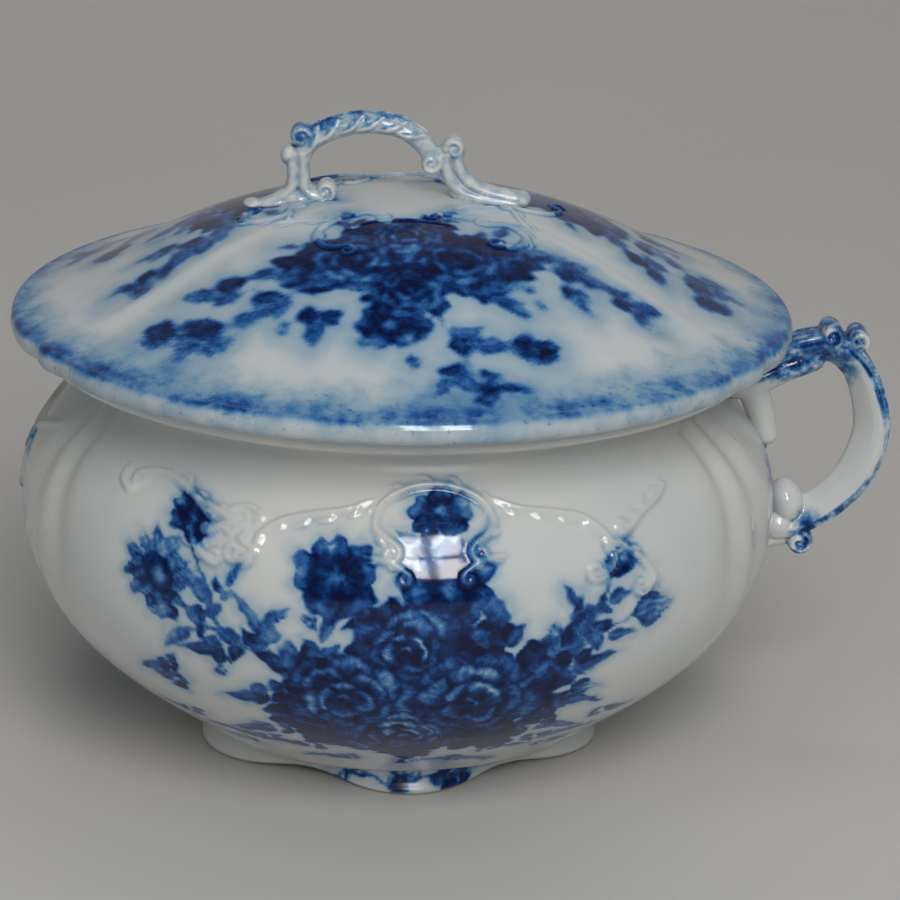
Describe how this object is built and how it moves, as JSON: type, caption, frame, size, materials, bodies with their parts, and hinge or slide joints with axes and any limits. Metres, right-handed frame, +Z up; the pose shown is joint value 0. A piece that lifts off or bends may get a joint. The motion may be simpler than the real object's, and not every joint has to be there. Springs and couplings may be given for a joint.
{
  "type": "lidded chamber pot",
  "caption": "Round-bellied glazed earthenware chamber pot on a lobed foot ring, with fluted corners, a scroll side handle and a loose domed lid with an arched scroll grip.",
  "frame": {"origin": "on the pot's axis at the table, in the middle of the foot ring's underside", "axes": "+Z up along the pot's axis, +X towards the side handle, and the front panel faces -Y"},
  "size_m": [0.2767, 0.2429, 0.1975],
  "materials": {
    "pot_glaze": "glossy white glaze over a blue transfer print",
    "handle_glaze": "glossy glaze over a blue wash",
    "lid_glaze": "glossy white glaze over a blue transfer print"
  },
  "bodies": {
    "pot": {"foot_ring": "pot_glaze", "bowl": "pot_glaze", "pot_handle": "handle_glaze"},
    "lid": {"lid_dome": "lid_glaze", "lid_flange": "lid_glaze", "lid_handle": "handle_glaze"}
  },
  "joints": [
    {"name": "lid_lift", "type": "slide", "parent": "pot", "child": "lid", "axis": [0, 0, 1], "range_m": [0, 0.15]}
  ]
}
